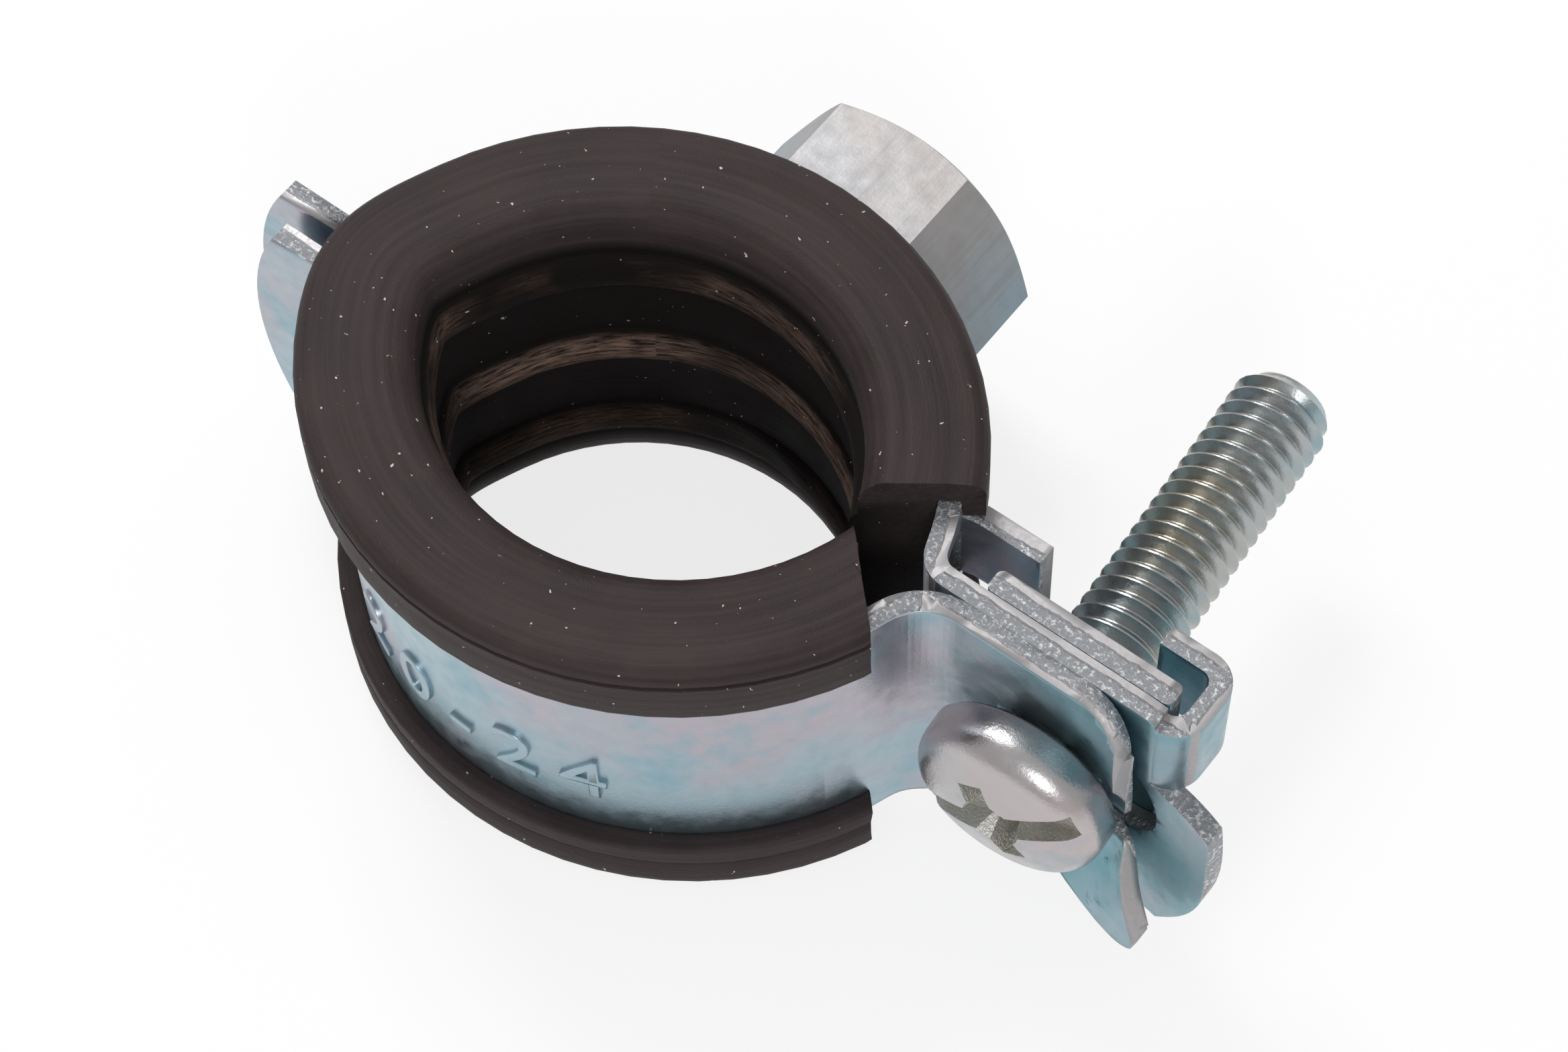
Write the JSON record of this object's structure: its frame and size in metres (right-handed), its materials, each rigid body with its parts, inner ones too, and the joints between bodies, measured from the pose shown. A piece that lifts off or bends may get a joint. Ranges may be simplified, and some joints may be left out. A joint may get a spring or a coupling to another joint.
{
  "type": "rubber lined pipe clamp",
  "caption": "Two-part sheet-metal pipe clamp with a rubber liner, a hinge, a closing screw and a hexagonal connection nut for a threaded rod.",
  "frame": {"origin": "centre of the pipe opening, halfway along the clamp's width", "axes": "+Z along the pipe, +Y out of the connection nut, +X towards the closing screw; the clamp lies on its side on its lower rubber rim"},
  "size_m": [0.0634, 0.0428, 0.024],
  "materials": {
    "zinc_sheet": "zinc plated sheet, light blue-grey with a faint pink and teal tint",
    "zinc_nut": "zinc plated, satin, slightly warm grey",
    "zinc_screw": "zinc plated, semi-gloss with a yellowish tint",
    "rubber": "matte black rubber with dust and brown wear on the ribs"
  },
  "bodies": {
    "back_half": {"band_back": "zinc_sheet", "connection_nut": "zinc_nut", "liner": "rubber"},
    "front_half": {"band_front": "zinc_sheet"},
    "plate": {"nut_plate": "zinc_sheet"},
    "closing_screw": {"screw": "zinc_screw"}
  },
  "joints": [
    {"name": "halves_hinge", "type": "hinge", "parent": "back_half", "child": "front_half", "pos_m": [-0.0186, -0.00195, 0], "axis": [0, 0, 1], "range_deg": [-20, 0], "deforming": ["liner"]},
    {"name": "plate_rock", "type": "hinge", "parent": "back_half", "child": "plate", "pos_m": [0.0322, 0.00198, 0], "axis": [0, 0, 1], "range_deg": [-7.2, 0]},
    {"name": "screw_travel", "type": "slide", "parent": "plate", "child": "closing_screw", "axis": [0.068, -0.9977, 0], "range_m": [0, 0.0196]}
  ],
  "couplings": [
    {"joint": "plate_rock", "follows": "halves_hinge", "ratio": 0.35},
    {"joint": "screw_travel", "follows": "halves_hinge", "m_per_rad": -0.056}
  ]
}
